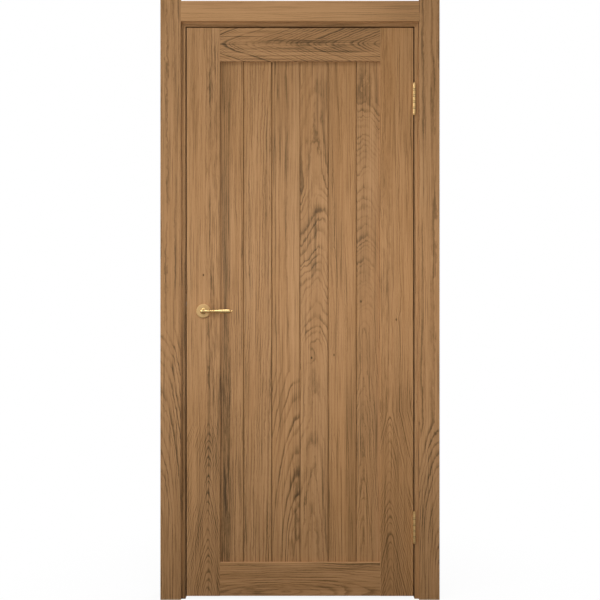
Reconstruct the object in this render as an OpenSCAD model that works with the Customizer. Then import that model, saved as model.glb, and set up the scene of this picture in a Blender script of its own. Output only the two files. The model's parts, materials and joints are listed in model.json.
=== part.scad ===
// Boarded oak door leaf hung in its rebated frame, with casings on both faces, butt hinges, lever and latch
// Millimetres, +Z up, the front faces -Y, origin on the floor below the middle of the leaf

/* [Leaf] */
// Width of the leaf
leaf_w = 800; // [700:10:900]
// Height of the leaf
leaf_h = 2000; // [1900:10:2200]
// Thickness of the leaf
leaf_t = 40; // [38:1:46]
// Width of the two stiles
stile_w = 118; // [110:1:135]
// Height of the top rail
top_rail_h = 118; // [100:1:140]
// Height of the bottom rail
bottom_rail_h = 118; // [100:1:200]
// Radius of the leaf's outer edges
leaf_ease = 1.5; // [0.5:0.5:3]
// Radius of the edges around the panel
panel_ease = 1; // [0.5:0.5:2]
// Length of the rails' tenons
tenon_l = 70; // [40:1:80]
// Thickness of the rails' tenons
tenon_t = 12; // [10:1:14]
// Distance of the tenons from the ends of the stiles
tenon_haunch = 25; // [15:1:35]

/* [Panel] */
// Thickness of the planks
plank_t = 22; // [16:1:24]
// Visible width of the two planks beside the stiles
edge_plank_w = 83; // [70:1:100]
// Width of the V-joints between planks
vee_w = 5; // [3:0.5:8]
// Thickness of the tongues that sit in the stiles and rails
panel_tongue_t = 9; // [6:0.5:10]
// Depth of the grooves in the stiles and rails
panel_groove_d = 14; // [10:1:18]
// Thickness of the tongues between planks
plank_tongue_t = 6; // [4:0.5:7]
// Length of the tongues between planks
plank_tongue_l = 7; // [5:0.5:10]

/* [Frame] */
// Gap between leaf and jamb at each side
side_gap = 3; // [2:0.5:4]
// Gap between leaf and head jamb
head_gap = 5; // [3:0.5:6]
// Gap between leaf and floor
floor_gap = 10; // [5:1:20]
// Thickness of the jambs where the leaf sits
jamb_t = 30; // [26:1:36]
// Depth of the jambs, as the wall they line
jamb_depth = 80; // [75:1:84]
// Height of the stop behind the leaf
stop_w = 12; // [10:1:16]
// Gap between leaf and stop that the seal fills
seal_gap = 4; // [3:0.5:5]
// Radius of the jambs' edges
jamb_ease = 1; // [0.5:0.5:2]
// Height of the lowest wall fixings above the floor
fixing_z = 200; // [100:10:400]
// Distance of the highest wall fixings below the top of the leaf
fixing_outer = 210; // [100:10:400]
// Distance of the inner wall fixings from the outer ones
fixing_inner = 500; // [300:10:550]
// Diameter of the wall fixing holes
fixing_d = 8; // [6:0.5:10]

/* [Casings] */
// Width of the casings
casing_w = 72; // [60:1:90]
// Thickness of the casings
casing_t = 12; // [10:1:14]
// Strip of jamb that shows beside the casings
casing_reveal = 15; // [10:1:17]
// Height of the legs above the head casing
leg_overrun = 5; // [2:1:20]
// Radius of the casings' edges
casing_ease = 2; // [0.5:0.5:4]
// Thickness of the casings' tongues
casing_tongue_t = 5; // [4:0.5:6]
// Length of the casings' tongues
casing_tongue_l = 11; // [8:1:14]

/* [Hinges] */
// Height of the hinge plates
hinge_h = 102; // [90:1:120]
// Width of the hinge plates inside the wood
plate_w = 30; // [26:1:34]
// Thickness of the hinge plates
plate_t = 2.5; // [2:0.25:3]
// Diameter of the barrel
barrel_d = 10; // [9:0.5:11]
// Diameter of the pin
pin_d = 6; // [5:0.5:6.5]
// Distance of the pin in front of the leaf
pin_offset = 6.5; // [6:0.5:8]
// Height of the bearing rings
bearing_h = 4; // [2:0.5:5]
// Height of the grooves above and below each bearing ring
race_gap = 1; // [0.4:0.1:1.5]
// Chamfer at the ends of the knuckles and bearing rings
knuckle_ease = 0.6; // [0.3:0.1:0.8]
// Height of the end tips
tip_h = 6.5; // [3:0.5:8]
// Middle of the upper hinge below the top of the leaf
upper_hinge = 251; // [180:1:300]
// Middle of the lower hinge above the bottom of the leaf
lower_hinge = 242; // [180:1:300]
// Diameter of the hinge screws
hinge_screw_d = 4; // [3.5:0.5:4.5]
// Length of the hinge screws
hinge_screw_l = 26; // [20:1:28]

/* [Handle] */
// Height of the spindle above the floor
handle_z = 1013; // [950:1:1050]
// Distance of the spindle from the edge of the leaf
backset = 60; // [55:1:65]
// Diameter of the roses
rose_d = 50; // [48:1:56]
// Thickness of the roses
rose_t = 8; // [7:0.5:10]
// Length of the lever from the spindle to its tip
lever_reach = 107; // [95:1:125]
// Distance of the lever's axis from the face of the leaf
lever_standoff = 46; // [44:1:52]
// Largest diameter of the grip
grip_d = 16; // [13:0.5:18]
// Smallest diameter of the shank
shank_d = 11; // [9:0.5:12]
// Diameter of the grooves beside the ring between shank and grip
groove_d = 8; // [7:0.5:9]
// Diameter of the ball at the tip
ball_d = 6.5; // [6:0.5:10]
// Diameter of the round root of the lever
root_d = 16; // [15:0.5:18]
// Diameter of the lever's neck where it turns in the rose
neck_d = 16; // [15:0.5:17]
// Width of the collar around the neck, in front of the rose
collar_w = 3.2; // [1:0.1:4]
// Side of the square spindle
spindle_w = 8; // [7:0.5:8]
// Depth of the spindle in each lever
spindle_grip = 28; // [24:1:30]

/* [Latch] */
// Thickness of the latch case
case_t = 14; // [13:1:16]
// Thickness of the case's sheet
case_wall = 1.2; // [1:0.1:1.5]
// Height of the bolt's middle above the spindle
bolt_rise = 25; // [24:1:30]
// Height of the bolt's head
bolt_h = 16; // [12:1:18]
// Travel of the bolt, and its length outside the leaf
bolt_throw = 12; // [10:0.5:12]
// Diameter of the hub
hub_d = 20; // [18:0.5:20]
// Length of the hub's finger
finger_l = 16; // [15:0.5:16.5]
// Width of the finger
finger_w = 5; // [4:0.5:6]
// Width of the faceplate and the strike
faceplate_w = 20; // [18:1:22]
// Thickness of the faceplate and the strike
faceplate_t = 2.5; // [2:0.25:3]
// Diameter of the spring's wire
wire_d = 1; // [0.8:0.1:1.2]

/* [Clearances] */
// Gap around glued joints, tongues and recessed plates
fit = 0.15; // [0.1:0.05:0.3]
// Radial gap between turning pieces
run = 0.06; // [0.04:0.01:0.1]
// Gap around sliding pieces
slide = 0.3; // [0.2:0.05:0.4]
// Gap around screws
screw_gap = 0.05; // [0.03:0.01:0.1]

/* [Hidden] */
$fn = 64;
ARC_STEPS = 3;
EPS = 1;
PLANKS = 6;
CROSS_ARM = 0.45;
CROSS_WIDTH = 0.22;
CROSS_DEPTH = 0.42;
leaf_x = leaf_w / 2;
face_y = -leaf_t / 2;
leaf_z0 = floor_gap;
leaf_z1 = floor_gap + leaf_h;
panel_x = leaf_x - stile_w;
panel_z0 = leaf_z0 + bottom_rail_h;
panel_z1 = leaf_z1 - top_rail_h;
plank_pitch = (2 * panel_x - 2 * edge_plank_w) / (PLANKS - 2);
tongue_end = 2;
tongue_in = panel_groove_d - tongue_end;
groove_w = panel_tongue_t + 2 * fit;
open_x = leaf_x + side_gap;
open_z = leaf_z1 + head_gap;
stop_y = leaf_t / 2 + seal_gap;
back_y = face_y + jamb_depth;
slot_u = (casing_reveal + jamb_t) / 2;
slot_half = casing_tongue_t / 2 + fit;
slot_d = casing_tongue_l + EPS;
seal_u = -stop_w / 2;
seal_fin_half = 1.2;
seal_fin_l = 6;
seal_half = 4;
seal_clear = 0.4;
head_casing_z = open_z + casing_reveal;
leg_z = head_casing_z + casing_w + leg_overrun;
pin_x = leaf_x + side_gap / 2;
pin_y = face_y - pin_offset;
race_wall = 1;
bearing_stack = bearing_h + 2 * race_gap;
knuckle_h = (hinge_h - 4 * bearing_stack) / 5;
knuckle_pitch = knuckle_h + bearing_stack;
axial_play = 0.1;
plate_back_y = face_y + plate_w;
spindle_x = -leaf_x + backset;
bolt_z = handle_z + bolt_rise;
bolt_t = case_t - 2 * case_wall - 2 * slide;
tail_t = 5;
tail_h = 6;
case_x0 = -leaf_x + faceplate_t;
case_x1 = spindle_x + 24;
case_z0 = handle_z - hub_d / 2 - 6;
case_z1 = bolt_z + bolt_h / 2 + 7;
plate_mid_z = (case_z0 + case_z1) / 2;
faceplate_h = case_z1 - case_z0 + 44;
head_back_x = -leaf_x + 24;
lug_x = spindle_x - 14;
post_x = spindle_x + finger_w / 2 + slide;
post_t = 6;
strike_h = bolt_h + 56;
latch_screw_d = 3.5;
latch_screw_l = 22;
box_wall = 1.2;
box_d = bolt_throw + 2;
rose_wall = 1.5;
rose_base_t = 5;
rose_screw_d = 3.5;
rose_screw_l = 15;
rose_screw_z = 17;
jamb_screw_l = 70;
jamb_screw_d = 5;

OAK = [0.70, 0.54, 0.36];
BRASS = [0.80, 0.66, 0.38];
STEEL = [0.62, 0.62, 0.63];
RUBBER = [0.25, 0.18, 0.13];
NYLON = [0.20, 0.20, 0.21];

// Outline tools

function unit(v) = v / norm(v);
function flat(p) = [p[0], p[1]];

// Points of a rounded corner b between its neighbours a and c
function arc(a, b, c, r) =
    let (
        u = unit(a - b),
        v = unit(c - b),
        half = acos(u * v) / 2,
        o = b + unit(u + v) * r / sin(half),
        s = b + u * r / tan(half) - o,
        e = b + v * r / tan(half) - o
    )
    [for (k = [0 : ARC_STEPS]) o + r * unit(s * (ARC_STEPS - k) + e * k)];

// Outline from corners given as x, y and radius
function eased(p) = [
    for (i = [0 : len(p) - 1])
        let (n = len(p), a = flat(p[(i + n - 1) % n]), b = flat(p[i]), c = flat(p[(i + 1) % n]))
        each (p[i][2] > 0 ? arc(a, b, c, p[i][2]) : [b])
];

function swapped(p) = [for (q = p) [q[1], q[0]]];

module box(lo, hi) {
    translate(lo) cube(hi - lo);
}

// Outline in Y and Z, drawn out along X
module along_x(x0, x1) {
    translate([x0, 0, 0]) rotate([90, 0, 90]) linear_extrude(x1 - x0) children();
}

// Outline in X and Z, drawn out along Y
module along_y(y0, y1) {
    translate([0, y1, 0]) rotate([90, 0, 0]) linear_extrude(y1 - y0) children();
}

module along_z(z0, z1) {
    translate([0, 0, z0]) linear_extrude(z1 - z0) children();
}

// The hinge side's shape on the lock side
module lock_side() {
    mirror([1, 0, 0]) children();
}

// The front's shape on the back of the jambs
module jamb_back() {
    translate([0, face_y + back_y, 0]) mirror([0, 1, 0]) children();
}

// The front's shape on the back of the leaf
module leaf_back() {
    mirror([0, 1, 0]) children();
}

// Countersunk screw along -Z with its head's top at zero, grown by g
module screw_blank(d, l, g) {
    r = d / 2;
    lid = g > 0 ? EPS : 0;
    rotate_extrude() polygon([
        [0, lid],
        [2 * r + g, lid],
        [2 * r + g, 0],
        [r + g, -r],
        [r + g, -l + 2 * r],
        [r / 4 + g, -l - g],
        [0, -l - g]
    ]);
}

// Screw with a cross recess in its head, or the plain room for it where g is given
module screw(d, l, g = 0) {
    arm = CROSS_ARM * d;
    half = CROSS_WIDTH * d / 2;
    if (g > 0)
        screw_blank(d, l, g);
    else
        difference() {
            screw_blank(d, l, 0);
            box([-arm, -half, -CROSS_DEPTH * d], [arm, half, EPS]);
            box([-half, -arm, -CROSS_DEPTH * d], [half, arm, EPS]);
        }
}

// Frame

jamb_outline = eased([
    [jamb_t, face_y, 0],
    [slot_u + slot_half, face_y, 0],
    [slot_u + slot_half, face_y + slot_d, 0],
    [slot_u - slot_half, face_y + slot_d, 0],
    [slot_u - slot_half, face_y, 0],
    [0, face_y, jamb_ease],
    [0, stop_y, 0],
    [seal_u + seal_fin_half + fit, stop_y, 0],
    [seal_u + seal_fin_half + fit, stop_y + seal_fin_l + EPS, 0],
    [seal_u - seal_fin_half - fit, stop_y + seal_fin_l + EPS, 0],
    [seal_u - seal_fin_half - fit, stop_y, 0],
    [-stop_w, stop_y, jamb_ease],
    [-stop_w, back_y, jamb_ease],
    [slot_u - slot_half, back_y, 0],
    [slot_u - slot_half, back_y - slot_d, 0],
    [slot_u + slot_half, back_y - slot_d, 0],
    [slot_u + slot_half, back_y, 0],
    [jamb_t, back_y, 0]
]);

seal_outline = concat(
    [for (a = [0 : 15 : 180]) [seal_u + seal_half * cos(a), stop_y - (seal_gap - seal_clear) * sin(a)]],
    [
        [seal_u - seal_fin_half, stop_y],
        [seal_u - seal_fin_half, stop_y + seal_fin_l],
        [seal_u + seal_fin_half, stop_y + seal_fin_l],
        [seal_u + seal_fin_half, stop_y]
    ]
);

casing_outline = eased([
    [casing_reveal, face_y - casing_t, casing_ease],
    [casing_reveal + casing_w, face_y - casing_t, casing_ease],
    [casing_reveal + casing_w, face_y, 0],
    [slot_u + casing_tongue_t / 2, face_y, 0],
    [slot_u + casing_tongue_t / 2, face_y + casing_tongue_l, 0],
    [slot_u - casing_tongue_t / 2, face_y + casing_tongue_l, 0],
    [slot_u - casing_tongue_t / 2, face_y, 0],
    [casing_reveal, face_y, 0]
]);

// Half of the corner above or below the mitre line
module mitre(above) {
    lo = -stop_w - EPS;
    hi = jamb_t + EPS;
    along_y(face_y - EPS, back_y + EPS)
        translate([open_x, open_z])
            polygon([[lo, lo], [hi, hi], above ? [lo, hi] : [hi, lo]]);
}

module fixing_holes() {
    y = (stop_y + back_y) / 2;
    top_z = leaf_z1 - fixing_outer;
    for (z = [fixing_z, fixing_z + fixing_inner, top_z - fixing_inner, top_z])
        translate([open_x - stop_w, y, z])
            rotate([0, 90, 0]) {
                translate([0, 0, -EPS]) cylinder(d = fixing_d, h = stop_w + jamb_t + 2 * EPS);
                translate([0, 0, -EPS]) cylinder(d1 = 2 * fixing_d + 2 * EPS, d2 = 0, h = fixing_d + EPS);
            }
}

module at_jamb_screws() {
    for (y = [face_y + jamb_depth * 0.32, face_y + jamb_depth * 0.7])
        translate([open_x + jamb_t, y, open_z + jamb_t / 2]) rotate([0, 90, 0]) children();
}

module upright() {
    difference() {
        along_z(0, open_z + jamb_t) translate([open_x, 0]) polygon(jamb_outline);
        mitre(true);
        fixing_holes();
        at_jamb_screws() screw(jamb_screw_d, jamb_screw_l, screw_gap);
    }
}

module hinge_jamb() {
    color(OAK)
        difference() {
            upright();
            at_hinges() plate_pocket(open_x - EPS, open_x + plate_t);
            at_hinges() at_frame_screws() screw(hinge_screw_d, hinge_screw_l, screw_gap);
        }
}

module lock_jamb() {
    color(OAK)
        difference() {
            lock_side() upright();
            strike_recess();
            strike_box_block(fit, EPS);
            at_strike_screws() screw(latch_screw_d, latch_screw_l, screw_gap);
        }
}

module head_jamb() {
    color(OAK)
        difference() {
            along_x(-open_x - jamb_t, open_x + jamb_t)
                translate([0, open_z]) polygon(swapped(jamb_outline));
            mitre(false);
            lock_side() mitre(false);
            at_jamb_screws() screw(jamb_screw_d, jamb_screw_l, screw_gap);
            lock_side() at_jamb_screws() screw(jamb_screw_d, jamb_screw_l, screw_gap);
        }
}

module jamb_screws() {
    color(STEEL) {
        at_jamb_screws() screw(jamb_screw_d, jamb_screw_l);
        lock_side() at_jamb_screws() screw(jamb_screw_d, jamb_screw_l);
    }
}

module hinge_seal() {
    color(RUBBER)
        difference() {
            along_z(0, open_z + EPS) translate([open_x, 0]) polygon(seal_outline);
            mitre(true);
        }
}

module lock_seal() {
    lock_side() hinge_seal();
}

module head_seal() {
    color(RUBBER)
        difference() {
            along_x(-open_x, open_x) translate([0, open_z]) polygon(swapped(seal_outline));
            mitre(false);
            lock_side() mitre(false);
        }
}

module front_hinge_casing() {
    color(OAK)
        difference() {
            along_z(0, leg_z) translate([open_x, 0]) polygon(casing_outline);
            box(
                [open_x + slot_u - casing_tongue_t, face_y, open_z + slot_u - slot_half],
                [open_x + slot_u + casing_tongue_t, face_y + casing_tongue_l + EPS, leg_z + EPS]
            );
        }
}

module front_lock_casing() {
    lock_side() front_hinge_casing();
}

module front_head_casing() {
    x = open_x + casing_reveal;
    color(OAK) along_x(-x, x) translate([0, open_z]) polygon(swapped(casing_outline));
}

module back_hinge_casing() {
    jamb_back() front_hinge_casing();
}

module back_lock_casing() {
    jamb_back() front_lock_casing();
}

module back_head_casing() {
    jamb_back() front_head_casing();
}

// Hinges

module at_hinges() {
    for (z = [leaf_z1 - upper_hinge, leaf_z0 + lower_hinge]) translate([0, 0, z]) children();
}

module at_upper_hinge() {
    translate([0, 0, leaf_z1 - upper_hinge]) children();
}

module at_lower_hinge() {
    translate([0, 0, leaf_z0 + lower_hinge]) children();
}

// Recess for a hinge plate, open to the front
module plate_pocket(x0, x1) {
    z = hinge_h / 2 + fit;
    box([x0, face_y - EPS, -z], [x1, plate_back_y + fit, z]);
}

// Screws of a plate, behind the casing's slot and inside the plate's edge
module at_plate_screws() {
    front = face_y + slot_d + hinge_screw_d / 2 + 1;
    back = plate_back_y - hinge_screw_d - 2;
    for (side = [-1, 1]) {
        translate([0, front, side * hinge_h * 0.38]) children();
        translate([0, back, side * hinge_h * 0.14]) children();
    }
}

module at_frame_screws() {
    translate([open_x, 0, 0]) at_plate_screws() rotate([0, -90, 0]) children();
}

module at_leaf_screws() {
    translate([leaf_x, 0, 0]) at_plate_screws() rotate([0, 90, 0]) children();
}

// Piece of the barrel with a chamfer at each end
module barrel(d, h) {
    r = d / 2;
    c = knuckle_ease;
    rotate_extrude() polygon([[0, 0], [r - c, 0], [r, c], [r, h - c], [r - c, h], [0, h]]);
}

// Plate between x0 and x1 with the knuckles of one half of the hinge
module hinge_half(x0, x1, knuckles) {
    z = hinge_h / 2;
    difference() {
        union() {
            box([x0, face_y, -z], [x1, plate_back_y, z]);
            for (k = knuckles) {
                low = k * knuckle_pitch - z + (k == 0 ? 0 : axial_play);
                high = k * knuckle_pitch - z + knuckle_h - (k == 4 ? 0 : axial_play);
                box([x0, pin_y, low], [x1, face_y + EPS, high]);
                translate([pin_x, pin_y, low]) barrel(barrel_d, high - low);
            }
        }
        translate([pin_x, pin_y, -z - EPS]) cylinder(d = pin_d + 2 * run, h = hinge_h + 2 * EPS);
    }
}

module frame_plate() {
    color(BRASS)
        difference() {
            hinge_half(open_x, open_x + plate_t, [0, 2, 4]);
            at_frame_screws() screw(hinge_screw_d, hinge_screw_l, screw_gap);
        }
}

module leaf_plate() {
    color(BRASS)
        difference() {
            hinge_half(leaf_x - plate_t, leaf_x, [1, 3]);
            at_leaf_screws() screw(hinge_screw_d, hinge_screw_l, screw_gap);
        }
}

module upper_frame_plate() {
    at_upper_hinge() frame_plate();
}

module lower_frame_plate() {
    at_lower_hinge() frame_plate();
}

module upper_leaf_plate() {
    at_upper_hinge() leaf_plate();
}

module lower_leaf_plate() {
    at_lower_hinge() leaf_plate();
}

tip_stub = 2;

module hinge_pins() {
    l = hinge_h + 2 * tip_stub;
    color(BRASS) at_hinges() translate([pin_x, pin_y, -l / 2]) cylinder(d = pin_d, h = l);
}

// Turned tip that closes the end of a barrel, with a socket for the pin
module hinge_tip() {
    r = barrel_d / 2;
    rotate_extrude() polygon(eased([
        [0, tip_stub, 0],
        [pin_d / 2 + run, tip_stub, 0],
        [pin_d / 2 + run, 0, 0],
        [r + 0.3, 0, 0],
        [r + 0.3, 1.2, 0.4],
        [r - 0.8, 1.6, 0],
        [r - 0.8, tip_h, r * 0.7],
        [0, tip_h, 0]
    ]));
}

module hinge_tips() {
    color(BRASS)
        at_hinges() {
            translate([pin_x, pin_y, hinge_h / 2]) hinge_tip();
            translate([pin_x, pin_y, -hinge_h / 2]) mirror([0, 0, 1]) hinge_tip();
        }
}

// Bearing ring on a narrow race that keeps it off the knuckles
module bearing() {
    difference() {
        union() {
            cylinder(d = pin_d + 2 * race_wall, h = bearing_stack);
            translate([0, 0, race_gap]) barrel(barrel_d + 0.6, bearing_h);
        }
        translate([0, 0, -EPS]) cylinder(d = pin_d + 2 * run, h = bearing_stack + 2 * EPS);
    }
}

module hinge_bearings() {
    color(BRASS)
        at_hinges()
            for (k = [0 : 3])
                translate([pin_x, pin_y, k * knuckle_pitch - hinge_h / 2 + knuckle_h]) bearing();
}

module hinge_frame_screws() {
    color(BRASS) at_hinges() at_frame_screws() screw(hinge_screw_d, hinge_screw_l);
}

module hinge_leaf_screws() {
    color(BRASS) at_hinges() at_leaf_screws() screw(hinge_screw_d, hinge_screw_l);
}

// Leaf

// Stile on the hinge side, grooved for the planks and morticed for the rails
module stile() {
    difference() {
        along_z(leaf_z0, leaf_z1)
            polygon(eased([
                [panel_x, face_y, panel_ease],
                [leaf_x, face_y, leaf_ease],
                [leaf_x, -face_y, leaf_ease],
                [panel_x, -face_y, panel_ease]
            ]));
        box(
            [panel_x - EPS, -groove_w / 2, panel_z0 - panel_groove_d],
            [panel_x + panel_groove_d, groove_w / 2, panel_z1 + panel_groove_d]
        );
        tenon(panel_x - EPS, panel_x + tenon_l + tongue_end, panel_z1 + panel_groove_d, leaf_z1 - tenon_haunch, fit);
        tenon(panel_x - EPS, panel_x + tenon_l + tongue_end, leaf_z0 + tenon_haunch, panel_z0 - panel_groove_d, fit);
    }
}

module tenon(x0, x1, z0, z1, g) {
    box([x0, -tenon_t / 2 - g, z0 - g], [x1, tenon_t / 2 + g, z1 + g]);
}

module hinge_stile() {
    color(OAK)
        difference() {
            stile();
            at_hinges() plate_pocket(leaf_x - plate_t, leaf_x + EPS);
            at_hinges() at_leaf_screws() screw(hinge_screw_d, hinge_screw_l, screw_gap);
        }
}

module lock_stile() {
    color(OAK)
        difference() {
            lock_side() stile();
            faceplate_blank(-leaf_x - EPS, fit);
            box(
                [-leaf_x - EPS, -case_t / 2 - fit, case_z0 - fit],
                [case_x1 + EPS, case_t / 2 + fit, case_z1 + fit]
            );
            at_spindle() cylinder(d = hub_d + 2, h = leaf_t + 2 * EPS, center = true);
            at_latch_screws() screw(latch_screw_d, latch_screw_l, screw_gap);
            at_rose_screws() screw(rose_screw_d, rose_screw_l, screw_gap);
            leaf_back() at_rose_screws() screw(rose_screw_d, rose_screw_l, screw_gap);
        }
}

// Rail between z0 and z1, with its groove on the side of the panel edge
module rail(z0, z1, edge, out) {
    low_ease = edge == z0 ? panel_ease : leaf_ease;
    high_ease = edge == z1 ? panel_ease : leaf_ease;
    difference() {
        along_x(-panel_x, panel_x)
            polygon(eased([
                [face_y, z0, low_ease],
                [-face_y, z0, low_ease],
                [-face_y, z1, high_ease],
                [face_y, z1, high_ease]
            ]));
        box(
            [-panel_x - EPS, -groove_w / 2, min(edge - out * EPS, edge + out * panel_groove_d)],
            [panel_x + EPS, groove_w / 2, max(edge - out * EPS, edge + out * panel_groove_d)]
        );
    }
}

module top_rail() {
    color(OAK) {
        rail(panel_z1, leaf_z1, panel_z1, 1);
        for (side = [0, 1])
            mirror([side, 0, 0])
                tenon(panel_x - tenon_l, panel_x + tenon_l, panel_z1 + panel_groove_d, leaf_z1 - tenon_haunch, 0);
    }
}

module bottom_rail() {
    color(OAK) {
        rail(leaf_z0, panel_z0, panel_z0, -1);
        for (side = [0, 1])
            mirror([side, 0, 0])
                tenon(panel_x - tenon_l, panel_x + tenon_l, leaf_z0 + tenon_haunch, panel_z0 - panel_groove_d, 0);
    }
}

// Right edge of a plank at x, from its front to its back
function tongued_edge(x) =
    let (h = plank_t / 2, v = vee_w / 2, t = plank_tongue_t / 2)
    [
        [x - v, -h], [x, v - h], [x, -t], [x + plank_tongue_l, -t],
        [x + plank_tongue_l, t], [x, t], [x, h - v], [x - v, h]
    ];

// Left edge of a plank at x, from its back to its front
function grooved_edge(x) =
    let (h = plank_t / 2, v = vee_w / 2, t = plank_tongue_t / 2 + fit, d = plank_tongue_l + EPS)
    [
        [x + v, h], [x, h - v], [x, t], [x + d, t],
        [x + d, -t], [x, -t], [x, v - h], [x + v, -h]
    ];

// Edge of a plank that sits in a stile, from front to back on the side that s gives
function stile_edge(s) =
    let (h = plank_t / 2, t = panel_tongue_t / 2, x = s * (panel_x - fit), e = s * (panel_x + tongue_in))
    [[x, -s * h], [x, -s * t], [e, -s * t], [e, s * t], [x, s * t], [x, s * h]];

module plank(i) {
    x0 = (i - PLANKS / 2) * plank_pitch + fit;
    x1 = (i + 1 - PLANKS / 2) * plank_pitch;
    right = i == PLANKS - 1 ? stile_edge(1) : tongued_edge(x1);
    left = i == 0 ? stile_edge(-1) : grooved_edge(x0);
    z0 = panel_z0 + fit;
    z1 = panel_z1 - fit;
    w = panel_x + panel_groove_d;
    color(OAK)
        difference() {
            along_z(panel_z0 - tongue_in, panel_z1 + tongue_in) polygon(concat(right, left));
            for (s = [-1, 1]) {
                y0 = min(s * panel_tongue_t / 2, s * plank_t);
                y1 = max(s * panel_tongue_t / 2, s * plank_t);
                box([-w, y0, panel_z0 - panel_groove_d], [w, y1, z0]);
                box([-w, y0, z1], [w, y1, panel_z1 + panel_groove_d]);
            }
        }
}

module plank_1() {
    plank(0);
}

module plank_2() {
    plank(1);
}

module plank_3() {
    plank(2);
}

module plank_4() {
    plank(3);
}

module plank_5() {
    plank(4);
}

module plank_6() {
    plank(5);
}

// Latch

module at_spindle() {
    translate([spindle_x, 0, handle_z]) rotate([90, 0, 0]) children();
}

// Plate in the edge of the leaf, from x0 to the front of the latch case
module faceplate_blank(x0, g) {
    w = faceplate_w / 2 + g;
    h = faceplate_h / 2 + g;
    box([x0, -w, plate_mid_z - h], [case_x0, w, plate_mid_z + h]);
}

module at_latch_screws() {
    for (side = [-1, 1])
        translate([-leaf_x, 0, plate_mid_z + side * (faceplate_h / 2 - 9)]) rotate([0, -90, 0]) children();
}

// Room for the bolt's head in a plate
module bolt_window(x0, x1) {
    w = bolt_t / 2 + slide;
    h = bolt_h / 2 + slide;
    box([x0, -w, bolt_z - h], [x1, w, bolt_z + h]);
}

module latch_faceplate() {
    color(BRASS)
        difference() {
            faceplate_blank(-leaf_x, 0);
            bolt_window(-leaf_x - EPS, case_x0 + EPS);
            at_latch_screws() screw(latch_screw_d, latch_screw_l, screw_gap);
        }
}

module latch_screws() {
    color(BRASS) at_latch_screws() screw(latch_screw_d, latch_screw_l);
}

lid_y = case_t / 2 - case_wall;

// Open sheet box with a guide lug for the bolt's tail
module latch_case() {
    color(STEEL)
        difference() {
            box([case_x0, -case_t / 2, case_z0], [case_x1, lid_y, case_z1]);
            difference() {
                box(
                    [case_x0 + case_wall, -lid_y, case_z0 + case_wall],
                    [case_x1 - case_wall, case_t, case_z1 - case_wall]
                );
                box([lug_x, -case_t, bolt_z - bolt_h / 2], [lug_x + 2 * case_wall, case_t, case_z1]);
            }
            box(
                [lug_x - EPS, -tail_t / 2 - slide, bolt_z - tail_h / 2 - slide],
                [lug_x + 2 * case_wall + EPS, tail_t / 2 + slide, bolt_z + tail_h / 2 + slide]
            );
            bolt_window(case_x0 - EPS, case_x0 + case_wall + EPS);
            at_spindle() cylinder(d = hub_d + 2 * run, h = 2 * case_t, center = true);
        }
}

module latch_cover() {
    color(STEEL)
        difference() {
            box([case_x0, lid_y, case_z0], [case_x1, case_t / 2, case_z1]);
            at_spindle() cylinder(d = hub_d + 2 * run, h = 2 * case_t, center = true);
        }
}

// Bevelled head, tail through the lug, and the post that the hub's finger pushes
module latch_bolt() {
    nose = -leaf_x - bolt_throw;
    tail_x = post_x + post_t;
    color(BRASS) {
        along_z(bolt_z - bolt_h / 2, bolt_z + bolt_h / 2)
            polygon([
                [head_back_x, -bolt_t / 2],
                [nose, -bolt_t / 2],
                [nose, -bolt_t / 4],
                [-leaf_x - 1, bolt_t / 2],
                [head_back_x, bolt_t / 2]
            ]);
        box([head_back_x - EPS, -tail_t / 2, bolt_z - tail_h / 2], [tail_x, tail_t / 2, bolt_z + tail_h / 2]);
        box([post_x, -tail_t / 2, handle_z + hub_d / 2 + EPS], [tail_x, tail_t / 2, bolt_z]);
    }
}

// Hub with a square hole for the spindle and a finger that pulls the bolt back
module latch_hub() {
    top = finger_l + finger_w / 2;
    color(STEEL)
        difference() {
            union() {
                at_spindle() cylinder(d = hub_d, h = case_t, center = true);
                along_y(-tail_t / 2, tail_t / 2)
                    translate([spindle_x, handle_z])
                        polygon(eased([
                            [-finger_w / 2, 0, 0],
                            [finger_w / 2, 0, 0],
                            [finger_w / 2, top, finger_w * 0.48],
                            [-finger_w / 2, top, finger_w * 0.48]
                        ]));
            }
            spindle_bar(leaf_t, screw_gap);
        }
}

// Square bar of half length l through the leaf, grown by g
module spindle_bar(l, g) {
    w = spindle_w / 2 + g;
    box([spindle_x - w, -l, handle_z - w], [spindle_x + w, l, handle_z + w]);
}

module spindle() {
    color(STEEL) spindle_bar(leaf_t / 2 + spindle_grip, 0);
}

// Coil spring around the tail, between the bolt's head and the lug
SPRING_TURNS = 7;
SPRING_STEPS = 14;
WIRE_SIDES = 6;
spring_r = norm([tail_t, tail_h]) / 2 + slide + wire_d / 2;
spring_l = lug_x - head_back_x - wire_d - slide;

function spring_point(i, j) =
    let (
        a = i * 360 / SPRING_STEPS,
        b = j * 360 / WIRE_SIDES,
        r = spring_r + wire_d / 2 * cos(b),
        x = spring_l * i / (SPRING_TURNS * SPRING_STEPS) + wire_d / 2 * sin(b)
    )
    [x, r * cos(a), r * sin(a)];

module latch_spring() {
    n = SPRING_TURNS * SPRING_STEPS;
    points = [for (i = [0 : n]) for (j = [0 : WIRE_SIDES - 1]) spring_point(i, j)];
    sides = [
        for (i = [0 : n - 1])
            for (j = [0 : WIRE_SIDES - 1])
                let (k = (j + 1) % WIRE_SIDES, p = i * WIRE_SIDES, q = p + WIRE_SIDES)
                each [[p + j, p + k, q + k], [p + j, q + k, q + j]]
    ];
    start = [for (j = [WIRE_SIDES - 1 : -1 : 0]) j];
    end = [for (j = [0 : WIRE_SIDES - 1]) n * WIRE_SIDES + j];
    color(STEEL)
        translate([head_back_x + wire_d / 2 + slide / 2, 0, bolt_z])
            polyhedron(points, concat(sides, [start, end]));
}

// Strike

module at_strike_screws() {
    for (side = [-1, 1])
        translate([-open_x, 0, bolt_z + side * (strike_h / 2 - 9)]) rotate([0, 90, 0]) children();
}

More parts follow.
